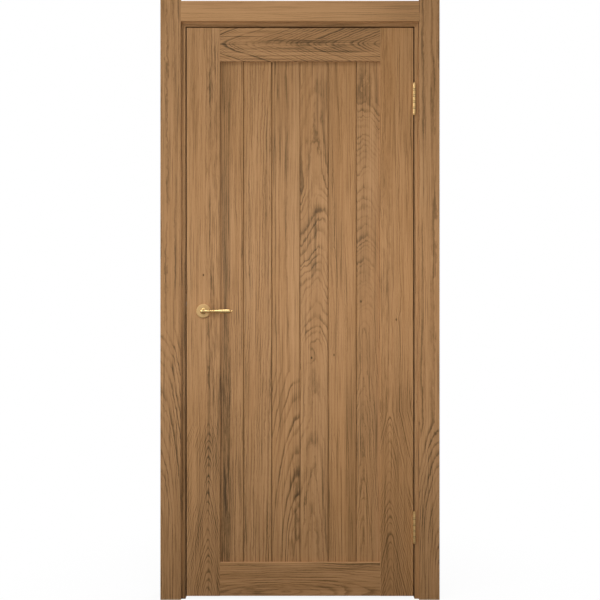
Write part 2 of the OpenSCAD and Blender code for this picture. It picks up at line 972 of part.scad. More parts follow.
module strike_blank(x1, g) {
    w = faceplate_w / 2 + g;
    h = strike_h / 2 + g;
    box([-open_x - faceplate_t, -w, bolt_z - h], [x1, w, bolt_z + h]);
}

module strike_recess() {
    strike_blank(-open_x + EPS, fit);
}

// Outside of the dust box behind the strike, grown by g and open to the leaf by e
module strike_box_block(g, e) {
    w = bolt_t / 2 + slide + box_wall + g;
    h = bolt_h / 2 + slide + box_wall + g;
    x0 = -open_x - faceplate_t - box_d;
    box([x0 - g, -w, bolt_z - h], [-open_x - faceplate_t + e, w, bolt_z + h]);
}

module strike_plate() {
    color(BRASS)
        difference() {
            strike_blank(-open_x, 0);
            bolt_window(-open_x - faceplate_t - EPS, -open_x + EPS);
            at_strike_screws() screw(latch_screw_d, latch_screw_l, screw_gap);
        }
}

module strike_box() {
    color(NYLON)
        difference() {
            strike_box_block(0, 0);
            bolt_window(-open_x - faceplate_t - box_d + box_wall, -open_x);
        }
}

module strike_screws() {
    color(BRASS) at_strike_screws() screw(latch_screw_d, latch_screw_l);
}

// Handle

// Round pieces on the spindle's axis, standing on the front face of the leaf
module on_leaf() {
    translate([spindle_x, face_y, handle_z]) rotate([90, 0, 0]) children();
}

module at_rose_screws() {
    for (side = [-1, 1]) on_leaf() translate([0, side * rose_screw_z, rose_base_t]) children();
}

module rose_base() {
    color(NYLON)
        difference() {
            on_leaf()
                difference() {
                    cylinder(d = rose_d - 2 * rose_wall - 2 * fit, h = rose_base_t);
                    translate([0, 0, -EPS]) cylinder(d = neck_d + 2 * run, h = rose_base_t + 2 * EPS);
                }
            at_rose_screws() screw(rose_screw_d, rose_screw_l, screw_gap);
        }
}

// Turned cover with a rounded rim
module rose() {
    r = rose_d / 2;
    hole = neck_d / 2 + slide;
    color(BRASS)
        on_leaf()
            rotate_extrude()
                polygon(eased([
                    [hole, rose_t - rose_wall, 0],
                    [hole, rose_t, 0.4],
                    [r - 3.2, rose_t, 0],
                    [r - 2.6, rose_t - 0.6, 0],
                    [r, rose_t - 0.6, 2.2],
                    [r, 0, 0],
                    [r - rose_wall, 0, 0],
                    [r - rose_wall, rose_t - rose_wall - 0.6, 0],
                    [r - rose_wall - 2.4, rose_t - rose_wall, 0]
                ]));
}

module front_rose() {
    rose();
}

module back_rose() {
    leaf_back() rose();
}

module front_rose_base() {
    rose_base();
}

module back_rose_base() {
    leaf_back() rose_base();
}

module rose_screws() {
    color(STEEL) {
        at_rose_screws() screw(rose_screw_d, rose_screw_l);
        leaf_back() at_rose_screws() screw(rose_screw_d, rose_screw_l);
    }
}

// Turned outline of the lever's arm: distance from the spindle and radius
BEAD_STEPS = 6;
GRIP_STEPS = 8;
arm_k = lever_reach / 107;
ring_r = grip_d / 2 - 1;
waist_r = shank_d / 2 - 0.3;
groove_r = groove_d / 2;
ball_x = lever_reach - ball_d / 2;
ball_neck_r = ball_d * 0.3;

// Half-round bead from x0 to x1 that swells from r0 to r1
function bead(x0, x1, r0, r1) = [
    for (k = [0 : BEAD_STEPS])
        let (a = 180 * k / BEAD_STEPS)
        [(x0 + x1) / 2 - (x1 - x0) / 2 * cos(a), r0 + (r1 - r0) * sin(a)]
];

function shank(x0, x1, r0, r1) = [
    for (k = [0 : BEAD_STEPS])
        let (t = k / BEAD_STEPS)
        [x0 + (x1 - x0) * t, r0 + (r1 - r0) * t - (r0 - waist_r) * 0.9 * sin(180 * t)]
];

function swell(x0, x1, r0, r1) = [
    for (k = [0 : GRIP_STEPS])
        let (t = k / GRIP_STEPS)
        [x0 + (x1 - x0) * t, r0 + (r1 - r0) * t * (1.3 - 0.3 * t)]
];

// Quarter-round end from x0 to x1 that closes from r0 to r1
function dome(x0, x1, r0, r1) = [
    for (k = [1 : BEAD_STEPS])
        let (a = 90 * k / BEAD_STEPS)
        [x0 + (x1 - x0) * sin(a), r1 + (r0 - r1) * cos(a)]
];

arm_outline = concat(
    [[0, 0]],
    shank(0, 23.4 * arm_k, root_d / 2 - 0.8, ring_r - 0.5),
    bead(23.4 * arm_k, 26.6 * arm_k, ring_r - 0.5, ring_r),
    [[28 * arm_k, groove_r], [32.6 * arm_k, groove_r]],
    bead(33.4 * arm_k, 39.2 * arm_k, groove_r + 0.6, ring_r - 0.4),
    [[40 * arm_k, groove_r], [41.6 * arm_k, groove_r]],
    swell(42.4 * arm_k, 93.4 * arm_k, shank_d / 2 + 0.2, grip_d / 2),
    dome(93.4 * arm_k, ball_x - ball_d * 0.62, grip_d / 2, ball_neck_r),
    [[ball_x - ball_d * 0.5, ball_neck_r]],
    [for (a = [135 : -15 : 15]) [ball_x + ball_d / 2 * cos(a), ball_d / 2 * sin(a)]],
    [[lever_reach, 0]]
);

// Neck with its journal in the rose and a collar in front of it
neck_outline = eased([
    [0, 0.6, 0],
    [neck_d / 2, 0.6, 0],
    [neck_d / 2, rose_t + slide, 0],
    [neck_d / 2 + collar_w, rose_t + slide, 0],
    [neck_d / 2 + collar_w, rose_t + 3.4, 1.4],
    [neck_d / 2 - 0.9, rose_t + 5.4, 1.5],
    [neck_d / 2 - 0.9, lever_standoff, 0],
    [0, lever_standoff, 0]
]);

grub_d = 5;
grub_h = rose_t + 12;

// Grub screw room from below the neck up to the spindle, grown by g
module grub(l, g) {
    translate([spindle_x, face_y - grub_h, handle_z - spindle_w / 2])
        mirror([0, 0, 1]) cylinder(d = grub_d + 2 * g, h = l);
}

module lever() {
    color(BRASS)
        difference() {
            union() {
                on_leaf() rotate_extrude() polygon(neck_outline);
                on_leaf() translate([0, 0, lever_standoff]) sphere(d = root_d);
                on_leaf()
                    translate([0, 0, lever_standoff])
                        rotate([0, 90, 0]) rotate_extrude() polygon(swapped(arm_outline));
            }
            spindle_bar(leaf_t / 2 + spindle_grip + 0.5, screw_gap);
            grub(neck_d, screw_gap);
        }
}

module front_lever() {
    lever();
}

module back_lever() {
    leaf_back() lever();
}

// Grub screw with a hexagonal socket in its lower end
module grub_screw() {
    l = (neck_d - spindle_w) / 2 - 1.3;
    difference() {
        grub(l, 0);
        translate([spindle_x, face_y - grub_h, handle_z - spindle_w / 2 - l - EPS])
            cylinder(d = grub_d * 0.55, h = l / 2 + EPS, $fn = 6);
    }
}

module grub_screws() {
    color(STEEL) {
        grub_screw();
        leaf_back() grub_screw();
    }
}

hinge_jamb();
lock_jamb();
head_jamb();
hinge_seal();
lock_seal();
head_seal();
front_hinge_casing();
front_lock_casing();
front_head_casing();
back_hinge_casing();
back_lock_casing();
back_head_casing();
strike_plate();
strike_box();
strike_screws();
jamb_screws();
upper_frame_plate();
lower_frame_plate();
hinge_pins();
hinge_tips();
hinge_bearings();
hinge_frame_screws();
lock_stile();
hinge_stile();
top_rail();
bottom_rail();
plank_1();
plank_2();
plank_3();
plank_4();
plank_5();
plank_6();
upper_leaf_plate();
lower_leaf_plate();
hinge_leaf_screws();
latch_case();
latch_cover();
latch_faceplate();
latch_screws();
latch_spring();
front_rose();
back_rose();
front_rose_base();
back_rose_base();
rose_screws();
front_lever();
back_lever();
spindle();
latch_hub();
grub_screws();
latch_bolt();
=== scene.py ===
import functools
import json
import math

import bpy
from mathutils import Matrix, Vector


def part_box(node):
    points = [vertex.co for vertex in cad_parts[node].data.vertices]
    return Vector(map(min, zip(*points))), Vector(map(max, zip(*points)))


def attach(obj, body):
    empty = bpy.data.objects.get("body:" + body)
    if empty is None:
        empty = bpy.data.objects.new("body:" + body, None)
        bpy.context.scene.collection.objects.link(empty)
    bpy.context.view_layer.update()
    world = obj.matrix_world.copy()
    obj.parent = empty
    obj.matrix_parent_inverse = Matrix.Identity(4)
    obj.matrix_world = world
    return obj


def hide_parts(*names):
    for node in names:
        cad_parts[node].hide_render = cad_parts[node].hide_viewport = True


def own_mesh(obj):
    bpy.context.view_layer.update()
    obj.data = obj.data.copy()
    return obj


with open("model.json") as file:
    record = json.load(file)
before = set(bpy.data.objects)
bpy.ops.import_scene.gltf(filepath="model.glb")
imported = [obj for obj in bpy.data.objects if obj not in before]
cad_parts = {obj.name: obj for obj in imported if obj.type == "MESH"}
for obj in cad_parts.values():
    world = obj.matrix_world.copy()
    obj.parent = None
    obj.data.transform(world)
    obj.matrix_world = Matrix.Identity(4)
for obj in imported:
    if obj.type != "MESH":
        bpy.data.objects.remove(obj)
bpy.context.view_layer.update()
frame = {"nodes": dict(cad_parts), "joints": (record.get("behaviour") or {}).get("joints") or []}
nodes = frame["nodes"]
joints = {joint["name"]: joint for joint in frame["joints"]}
scene = bpy.context.scene


# Places in the part that the paint follows, in metres of the shared frame

LEAF_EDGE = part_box("hinge_stile")[1].x
LEAF_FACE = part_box("hinge_stile")[1].y
STILE_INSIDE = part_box("hinge_stile")[0].x
RAIL_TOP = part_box("bottom_rail")[1].z
PLANK_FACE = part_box("plank_3")[1].y
HINGE_AXIS = joints["leaf_swing"]["pos_m"]
SIDE_GAP = 0.003
BARREL_R = 0.005


# Node tools


class Tree:
    """Short calls for the nodes of one tree."""

    def __init__(self, tree):
        self.tree = tree

    def add(self, kind, **props):
        node = self.tree.nodes.new(kind)
        for name, value in props.items():
            setattr(node, name, value)
        return node

    def put(self, socket, value):
        if isinstance(value, bpy.types.NodeSocket):
            self.tree.links.new(value, socket)
        else:
            socket.default_value = value

    def math(self, operation, *values, clamp=False):
        node = self.add("ShaderNodeMath", operation=operation, use_clamp=clamp)
        for socket, value in zip(node.inputs, values):
            self.put(socket, value)
        return node.outputs[0]

    def total(self, *values):
        return functools.reduce(lambda a, b: self.math("ADD", a, b), values)

    def product(self, *values):
        return functools.reduce(lambda a, b: self.math("MULTIPLY", a, b), values)

    def centred(self, value, size):
        """A noise around 0.5 as a swing of this size around nought."""
        return self.product(self.math("SUBTRACT", value, 0.5), size)

    def vector(self, operation, *values):
        node = self.add("ShaderNodeVectorMath", operation=operation)
        for socket, value in zip(node.inputs, values):
            self.put(socket, value)
        return node.outputs["Value" if operation == "LENGTH" else "Vector"]

    def split(self, vector):
        node = self.add("ShaderNodeSeparateXYZ")
        self.put(node.inputs[0], vector)
        return node.outputs

    def join(self, x, y, z):
        node = self.add("ShaderNodeCombineXYZ")
        for socket, value in zip(node.inputs, (x, y, z)):
            self.put(socket, value)
        return node.outputs[0]

    def noise(self, vector, stretch, detail=2.0, rough=0.5, colour=False):
        node = self.add("ShaderNodeTexNoise", noise_dimensions="3D")
        self.put(node.inputs["Vector"], self.vector("MULTIPLY", vector, stretch))
        node.inputs["Scale"].default_value = 1.0
        node.inputs["Detail"].default_value = detail
        node.inputs["Roughness"].default_value = rough
        return node.outputs["Color" if colour else "Fac"]

    def remap(self, interpolation, *values):
        node = self.add("ShaderNodeMapRange", interpolation_type=interpolation)
        for name, value in zip(("Value", "From Min", "From Max", "To Min", "To Max"), values):
            self.put(node.inputs[name], value)
        return node.outputs["Result"]

    def smooth(self, value, low, high, to_low=0.0, to_high=1.0):
        return self.remap("SMOOTHSTEP", value, low, high, to_low, to_high)

    def line(self, value, low, high, to_low, to_high):
        return self.remap("LINEAR", value, low, high, to_low, to_high)

    def mix(self, factor, a, b):
        node = self.add("ShaderNodeMix", data_type="RGBA")
        self.put(node.inputs["Factor"], factor)
        self.put(node.inputs["A"], a)
        self.put(node.inputs["B"], b)
        return [o for o in node.outputs if o.type == "RGBA"][0]

    def ramp(self, factor, stops):
        node = self.add("ShaderNodeValToRGB")
        self.put(node.inputs[0], factor)
        ramp = node.color_ramp
        while len(ramp.elements) < len(stops):
            ramp.elements.new(0.5)
        for element, (at, colour) in zip(ramp.elements, stops):
            element.position = at
            element.color = colour
        return node.outputs["Color"]

    def bump(self, height, strength, distance):
        node = self.add("ShaderNodeBump")
        node.inputs["Strength"].default_value = strength
        node.inputs["Distance"].default_value = distance
        self.put(node.inputs["Height"], height)
        return node.outputs[0]


def srgb(r, g, b):
    """Colour written as it shows, 0 to 255, as linear light."""

    def lin(v):
        v /= 255.0
        return v / 12.92 if v <= 0.04045 else ((v + 0.055) / 1.055) ** 2.4

    return (lin(r), lin(g), lin(b), 1.0)


def surface(name):
    """New material with its tree and its Principled shader."""
    material = bpy.data.materials.new(name)
    material.use_nodes = True
    tree = Tree(material.node_tree)
    shader = material.node_tree.nodes["Principled BSDF"]
    return material, tree, shader


def paint(node, material):
    """The material on every slot of a CAD node."""
    mesh = nodes[node].data
    if not mesh.materials:
        mesh.materials.append(material)
    for i in range(len(mesh.materials)):
        mesh.materials[i] = material


# Oak

OAK_STOPS = (
    (0.0, srgb(192, 148, 103)),
    (0.3, srgb(170, 127, 84)),
    (0.62, srgb(127, 96, 63)),
    (1.0, srgb(78, 58, 38)),
)
OAK_WARM = srgb(178, 125, 70)
OAK_PALE = srgb(214, 166, 116)
OAK_BASE = 0.15
# Painted shade in the gap around the leaf: on the jamb's wall beside it and on a thin strip along the
# leaf's outer side
GAP_SHADE_BROWN = srgb(66, 36, 18)
GAP_SHADE_STRENGTH = 0.85
GAP_SHALLOW = LEAF_FACE - 0.0008
WALL_DEEP = LEAF_FACE - 0.0015
RIM_DEEP = LEAF_FACE - 0.0018
RIM_WIDTH = 0.0014
WALL_EASE = 0.0006
# Depths inside a V-joint that take painted shade
JOINT_DEEP = PLANK_FACE - 0.0024
JOINT_SHALLOW = PLANK_FACE - 0.0003
# Width of the painted highlight along an arris
ARRIS_WIDTH = (0.0005, 0.0024)
KNOT_CORE = (0.001, 0.0042)
KNOT_REACH = 0.03
KNOT_BULGE = 0.008
KNOT_SQUEEZE = 0.65
STRIP_FADE = 0.28

OAK_INPUTS = (
    ("Seed", 0.0),
    ("Pith Across", 0.0),
    ("Pith Depth", 0.1),
    ("Lean", 0.0),
    ("Cone", 0.0),
    ("Taper", 0.0),
    ("Low", -2.0),
    ("High", 3.0),
    ("Ring", 0.006),
    ("Wobble", 0.012),
    ("Jag", 0.0015),
    ("Loops", 0.0),
    ("Figure", 0.4),
    ("Flame", 0.0),
    ("Tone", 0.0),
    ("Warm", 0.0),
    ("Pale", 0.0),
    ("Seam", 0.0),
    ("Rebate", 0.0),
    ("Edge", 9.0),
    ("Arris", 0.0),
    ("Arris Light", 0.0),
    ("Streak At", 0.0),
    ("Streak Width", 0.01),
    ("Streak", 0.0),
    ("Streak Low", -2.0),
    ("Streak High", 3.0),
    ("Stain At", 0.0),
    ("Stain Width", 0.01),
    ("Stain", 0.0),
    ("Stain Low", -2.0),
    ("Stain High", 3.0),
    ("Knot Across", 0.0),
    ("Knot Along", 0.0),
    ("Knot", 0.0),
)


def oak_group():
    """Empty group with the oak's inputs and outputs."""
    group = bpy.data.node_groups.new("oak", "ShaderNodeTree")
    face = group.interface
    face.new_socket("Vector", in_out="INPUT", socket_type="NodeSocketVector")
    for name, value in OAK_INPUTS:
        socket = face.new_socket(name, in_out="INPUT", socket_type="NodeSocketFloat")
        socket.default_value = value
    face.new_socket("Color", in_out="OUTPUT", socket_type="NodeSocketColor")
    face.new_socket("Roughness", in_out="OUTPUT", socket_type="NodeSocketFloat")
    face.new_socket("Height", in_out="OUTPUT", socket_type="NodeSocketFloat")
    return group


def pin_knot(t, source, across, along):
    """Dark core of the knot, and the bulge of the grain that flows around it."""
    off = t.math("SUBTRACT", across, source["Knot Across"])
    up = t.product(t.math("SUBTRACT", along, source["Knot Along"]), KNOT_SQUEEZE)
    far = t.vector("LENGTH", t.join(off, up, 0.0))
    core = t.product(t.smooth(far, *KNOT_CORE, 1.0, 0.0), source["Knot"])
    flow = t.product(t.smooth(far, 0.0, KNOT_REACH, KNOT_BULGE, 0.0), source["Knot"])
    return core, flow


def ring_radius(t, source, place, shifted, flow):
    """Ruffled distance from the pith, which leans and tapers along one stretch, and its sway."""
    across, depth, along = t.split(place)
    slow = t.split(t.noise(shifted, (7.0, 7.0, 1.7), colour=True))
    quick = t.noise(shifted, (38.0, 38.0, 8.0))
    jag = t.noise(shifted, (75.0, 75.0, 34.0), 3.0, 0.6)
    loops = t.noise(shifted, (9.0, 9.0, 3.6), 1.0)
    sway = t.centred(slow[0], source["Wobble"])
    stretch = t.math("MINIMUM", t.math("MAXIMUM", along, source["Low"]), source["High"])
    pith = t.math("MULTIPLY_ADD", stretch, source["Lean"], source["Pith Depth"])
    side = t.total(t.math("SUBTRACT", across, source["Pith Across"]), sway)
    inward = t.total(t.math("SUBTRACT", pith, depth), t.centred(slow[1], source["Wobble"]))
    radius = t.total(
        t.vector("LENGTH", t.join(side, inward, 0.0)),
        t.product(stretch, source["Cone"]),
        t.product(along, source["Taper"]),
        t.centred(quick, 0.008),
        t.centred(jag, t.product(source["Jag"], 4.0)),
        t.centred(loops, t.product(source["Loops"], 3.0)),
        flow,
    )
    return radius, sway


def ring_figure(t, source, radius, along, shifted):
    """Dark early wood of each year, uneven from ring to ring, and stronger along the flame's stretch."""
    count = t.math("DIVIDE", radius, source["Ring"])
    years = t.add("ShaderNodeTexNoise", noise_dimensions="1D")
    t.put(years.inputs["W"], t.math("MULTIPLY_ADD", count, 0.43, source["Seed"]))
    years.inputs["Scale"].default_value = 1.0
    years.inputs["Detail"].default_value = 2.0
    year = years.outputs["Fac"]
    part = t.math("FRACT", t.total(count, t.centred(year, 1.5)))
    early = t.total(t.smooth(part, 0.84, 1.0), t.smooth(part, 0.0, 0.42, 1.0, 0.0))
    weight = t.smooth(year, 0.34, 0.64, 0.35, 1.0)
    patch = t.smooth(t.noise(shifted, (24.0, 24.0, 4.5)), 0.32, 0.6, 0.25, 1.0)
    low, high = source["Low"], source["High"]
    flame = t.product(
        t.smooth(along, t.math("SUBTRACT", low, 0.1), low),
        t.smooth(along, t.math("SUBTRACT", high, 0.05), t.total(high, 0.15), 1.0, 0.0),
    )
    strength = t.math("MULTIPLY_ADD", flame, source["Flame"], source["Figure"])
    return t.product(early, weight, patch, strength)


def oak_grain(t, shifted):
    """Marks of several sizes, drawn out along the grain."""
    return {
        "pores": t.smooth(t.noise(shifted, (1500.0, 1500.0, 70.0), 1.0), 0.56, 0.70),
        "wisps": t.smooth(t.noise(shifted, (210.0, 210.0, 10.0), 3.0, 0.55), 0.54, 0.70),
        "threads": t.smooth(t.noise(shifted, (230.0, 230.0, 3.4)), 0.55, 0.65),
        "smudge": t.smooth(t.noise(shifted, (160.0, 160.0, 15.0), 5.0, 0.68), 0.45, 0.61),
        "lines": t.noise(shifted, (165.0, 165.0, 2.2), 3.0, 0.6),
        "fibres": t.noise(shifted, (560.0, 560.0, 8.0), 3.0, 0.6),
        "bands": t.noise(shifted, (42.0, 42.0, 0.9), 3.0, 0.55),
        "clouds": t.noise(shifted, (16.0, 16.0, 5.0)),
    }


def oak_edges(t, source, across, depth):
    """Painted shade in the V-joints less a painted highlight on an arris, and painted shade in the gap
    beside the leaf, on the jamb's wall and along the leaf's outer side.
    """
    wide = t.math("ABSOLUTE", across)
    deep = t.math("ABSOLUTE", depth)
    joint = t.smooth(deep, JOINT_DEEP, JOINT_SHALLOW, source["Seam"], 0.0)
    # Painted highlight on a thin strip along one arris
    off = t.math("ABSOLUTE", t.math("SUBTRACT", across, source["Arris"]))
    arris = t.product(t.smooth(off, *ARRIS_WIDTH, 1.0, 0.0), source["Arris Light"])
    # Painted shade on the jamb's wall beside the gap
    wall = t.product(
        t.math("LESS_THAN", wide, source["Rebate"]),
        t.smooth(deep, WALL_DEEP, GAP_SHALLOW, GAP_SHADE_STRENGTH, 0.0),
    )
    # Painted shade on a thin strip along the leaf's outer side
    rim = t.product(
        t.math("GREATER_THAN", wide, source["Edge"]),
        t.smooth(deep, RIM_DEEP, GAP_SHALLOW, 0.0, GAP_SHADE_STRENGTH),
    )
    return t.math("SUBTRACT", joint, arris), t.math("ADD", wall, rim, clamp=True)


def oak_strip(t, source, name, frayed, along, core):
    """Strength of the streak or the stain, which fades beyond its core and at its two ends."""
    off = t.math("SUBTRACT", frayed, source[name + " At"])
    off = t.math("ABSOLUTE", t.math("DIVIDE", off, source[name + " Width"]))
    low, high = source[name + " Low"], source[name + " High"]
    return t.product(
        t.smooth(off, core, 1.1, 1.0, 0.0),
        t.smooth(along, low, t.total(low, STRIP_FADE)),
        t.smooth(along, t.math("SUBTRACT", high, STRIP_FADE), high, 1.0, 0.0),
        source[name],
    )


def make_oak():
    """Oak from growth rings around a pith, with finer marks, an even streak, a patchy stain, a pin knot,
    and painted shade and highlights at the joints, arrises and the gap beside the leaf.
    The vector runs across, through and along the board, in metres of the shared frame."""
    group = oak_group()
    t = Tree(group)
    source = t.add("NodeGroupInput").outputs
    sink = t.add("NodeGroupOutput").inputs
    place = source["Vector"]
    across, depth, along = t.split(place)
    seed = source["Seed"]
    shifted = t.vector("ADD", place, t.join(t.product(seed, 1.37), t.product(seed, 2.11), seed))

    knot, flow = pin_knot(t, source, across, along)
    radius, sway = ring_radius(t, source, place, shifted, flow)
    figure = ring_figure(t, source, radius, along, shifted)
    grain = oak_grain(t, shifted)
    pores, fibres = grain["pores"], grain["fibres"]
    shade, gap = oak_edges(t, source, across, depth)
    frayed = t.total(across, sway, t.centred(grain["lines"], 0.012))
    streak = oak_strip(t, source, "Streak", frayed, along, core=0.6)
    stain = oak_strip(t, source, "Stain", frayed, along, core=0.2)

    texture = t.math("MULTIPLY_ADD", pores, 0.3, t.line(fibres, 0.3, 0.7, 0.65, 1.0))
    dark = t.total(
        t.product(figure, texture),
        t.product(pores, 0.12),
        t.product(grain["wisps"], 0.16),
        t.product(grain["threads"], 0.28),
        t.centred(grain["lines"], 0.65),
        t.centred(fibres, 0.5),
        t.centred(grain["bands"], 0.4),
        t.centred(grain["clouds"], 0.2),
        streak,
        t.product(stain, grain["smudge"]),
        source["Tone"],
        shade,
        t.product(knot, 0.9),
        OAK_BASE,
    )
    colour = t.ramp(dark, OAK_STOPS)
    warm = t.smooth(t.noise(shifted, (11.0, 11.0, 1.6)), 0.35, 0.7, 0.0, 0.25)
    warm = t.math("ADD", warm, source["Warm"], clamp=True)
    colour = t.mix(warm, colour, t.mix(0.6, colour, OAK_WARM))
    colour = t.mix(source["Pale"], colour, OAK_PALE)
    # Painted shade of the gap laid over the oak
    t.put(sink["Color"], t.mix(gap, colour, GAP_SHADE_BROWN))
    t.put(sink["Roughness"], t.total(t.line(fibres, 0.2, 0.8, 0.48, 0.58), t.product(pores, 0.16)))
    t.put(sink["Height"], t.total(t.product(fibres, 0.5), t.product(pores, -1.0), t.product(figure, -0.4)))
    return group


OAK = make_oak()


def board(node, grain, **values):
    """Oak on one board whose grain runs along x or z."""
    material, t, shader = surface("oak_" + node)
    x, y, z = t.split(t.add("ShaderNodeTexCoord").outputs["Object"])
    oak = t.add("ShaderNodeGroup", node_tree=OAK)
    t.put(oak.inputs["Vector"], t.join(x, y, z) if grain == "z" else t.join(z, y, x))
    for name, value in values.items():
        oak.inputs[name.replace("_", " ").title()].default_value = value
    t.put(shader.inputs["Base Color"], oak.outputs["Color"])
    t.put(shader.inputs["Roughness"], oak.outputs["Roughness"])
    t.put(shader.inputs["Normal"], t.bump(oak.outputs["Height"], strength=0.25, distance=0.0004))
    shader.inputs["Specular IOR Level"].default_value = 0.2
    paint(node, material)


def stile(node, **values):
    """Stile with arches that rise from its foot, and painted shade on a thin strip along the leaf's outer
    side.
    """
    board(node, "z", pith_depth=-0.012, cone=0.22, low=-0.1, ring=0.0068, jag=0.0014, loops=0.008,
          edge=LEAF_EDGE - RIM_WIDTH, **values)


def plank(number, **values):
    """Plank of the panel, with painted shade in its V-joints."""
    board(f"plank_{number}", "z", seam=0.4, **values)


def jamb(node, **values):
    """Jamb with straight grain, and painted shade on its wall beside the gap."""
    board(node, "z", pith_depth=0.08, figure=0.45, rebate=LEAF_EDGE + SIDE_GAP + WALL_EASE, **values)


def front_leg(node, **values):
    """Leg of the front casing, with arches on one stretch."""
    board(node, "z", ring=0.0078, wobble=0.016, figure=0.5, **values)


stile("lock_stile", seed=1.3, pith_across=-0.324, high=0.62, figure=0.42, flame=0.32, tone=-0.05,
      streak_at=-0.322, streak_width=0.045, streak=0.12, streak_low=-0.3, streak_high=0.85,
      stain_at=-0.304, stain_width=0.03, stain=0.24, stain_low=0.35, stain_high=2.3,
      knot_across=-0.340, knot_along=1.140, knot=1.0)
# The hinge stile has a painted highlight along its inner arris.
stile("hinge_stile", seed=4.1, pith_across=0.317, high=0.66, figure=0.52, flame=0.34, tone=-0.045, warm=0.3,
      arris=STILE_INSIDE, arris_light=0.45,
      streak_at=0.338, streak_width=0.066, streak=0.15, streak_low=-0.3, streak_high=0.95,
      stain_at=0.300, stain_width=0.026, stain=0.24, stain_low=0.5, stain_high=2.3,
      knot_across=0.339, knot_along=0.983, knot=1.0)
board("top_rail", "x", seed=7.9, pith_across=1.953, pith_depth=-0.01, cone=-0.36, low=-0.5, high=0.5,
      ring=0.0076, wobble=0.012, jag=0.0016, loops=0.006, figure=0.76, tone=0.02,
      streak_at=1.985, streak_width=0.06, streak=0.14, streak_low=-0.25, streak_high=0.7,
      stain_at=1.953, stain_width=0.03, stain=0.3, stain_low=-0.4, stain_high=0.3)
# The bottom rail has a painted highlight along its top arris.
board("bottom_rail", "x", seed=2.7, pith_across=0.022, pith_depth=-0.014, lean=0.12, low=-0.3, high=0.3,
      ring=0.0085, wobble=0.03, loops=0.012, figure=0.55, arris=RAIL_TOP, arris_light=0.6,
      stain_at=0.035, stain_width=0.02, stain=0.3, stain_low=-0.4, stain_high=0.1)
# Plank 1's streak along its left side is partly its own figure and partly painted shade from the lock
# stile's step, carried up its whole height.
plank(1, seed=11.2, pith_across=-0.14, pith_depth=0.06, figure=0.46,
      streak_at=-0.266, streak_width=0.024, streak=0.2, streak_low=-0.3, streak_high=2.4,
      stain_at=-0.264, stain_width=0.03, stain=0.26, stain_low=-0.3, stain_high=1.1)
plank(2, seed=12.6, pith_across=-0.05, pith_depth=0.07, lean=0.02, ring=0.0068, wobble=0.024, figure=0.52)
plank(3, seed=13.3, pith_across=-0.004, pith_depth=-0.019, lean=0.16, low=0.05, high=0.8,
      ring=0.0105, jag=0.0006, figure=0.5, flame=0.3,
      streak_at=-0.056, streak_width=0.05, streak=0.14, streak_low=1.5, streak_high=2.4,
      stain_at=-0.022, stain_width=0.03, stain=0.46, stain_low=0.02, stain_high=0.62)
plank(4, seed=14.8, pith_across=0.051, pith_depth=-0.103, lean=0.16, taper=0.05, low=0.9, high=1.45,
      ring=0.0075, wobble=0.02, jag=0.0016, loops=0.012, figure=0.4, flame=0.2,
      streak_at=0.05, streak_width=0.05, streak=0.14, streak_low=1.5, streak_high=2.4,
      stain_at=0.051, stain_width=0.03, stain=0.3, stain_low=0.95, stain_high=1.6,
      knot_across=0.041, knot_along=0.848, knot=1.0)
plank(5, seed=15.5, pith_across=0.03, pith_depth=0.07, lean=0.02, wobble=0.02, figure=0.4, warm=0.2,
      streak_at=0.181, streak_width=0.018, streak=0.22, streak_low=-0.2, streak_high=0.95,
      knot_across=0.120, knot_along=0.858, knot=0.7)
plank(6, seed=16.9, pith_across=0.226, pith_depth=-0.19, lean=0.2, taper=0.06, low=0.95, high=1.75,
      ring=0.0066, wobble=0.02, jag=0.002, loops=0.01, figure=0.44,
      streak_at=0.243, streak_width=0.05, streak=0.1, streak_low=0.35, streak_high=1.45,
      knot_across=0.215, knot_along=1.047, knot=1.0)
# The lock jamb is darker in a band around its strip beside the leaf, from the floor up to 1.2 m.
jamb("lock_jamb", seed=21.4, pith_across=-0.33,
     streak_at=-0.41, streak_width=0.05, streak=0.22, streak_low=-0.3, streak_high=1.2)
jamb("hinge_jamb", seed=22.8, pith_across=0.33)
board("head_jamb", "x", seed=23.5, pith_across=1.93, pith_depth=0.08, figure=0.45)
front_leg("front_lock_casing", seed=31.7, pith_across=-0.500, pith_depth=-0.064, lean=0.16,
          low=0.2, high=0.95, flame=0.14)
front_leg("front_hinge_casing", seed=32.9, pith_across=0.504, pith_depth=-0.041, lean=0.18,
          low=0.05, high=0.62, flame=0.15)
board("front_head_casing", "x", seed=33.2, pith_across=1.92, pith_depth=0.05, figure=0.6, tone=-0.16,
      warm=0.25, pale=0.25,
      streak_at=2.066, streak_width=0.08, streak=0.3, streak_low=0.15, streak_high=1.0)
board("back_lock_casing", "z", seed=34.6, pith_across=-0.46, pith_depth=0.04, cone=0.2, low=0.2, high=1.1,
      ring=0.0075, wobble=0.02, loops=0.02, figure=0.5, flame=0.2)
board("back_hinge_casing", "z", seed=35.1, pith_across=0.38, pith_depth=0.0, ring=0.007, wobble=0.02,
      figure=0.5)
board("back_head_casing", "x", seed=36.3, pith_across=1.90, pith_depth=0.0, figure=0.4, tone=-0.04)


# Metal, rubber and nylon

# Painted shade for the grooves of the barrel, and the duller brass that the plates are mixed toward
BARREL_GROOVE_SHADE = srgb(112, 84, 46)
PLATE_DULL_BRASS = srgb(160, 124, 74)
HINGE_ROUGH = (0.32, 0.44)
HINGE_STROKES = (700.0, 700.0, 60.0)


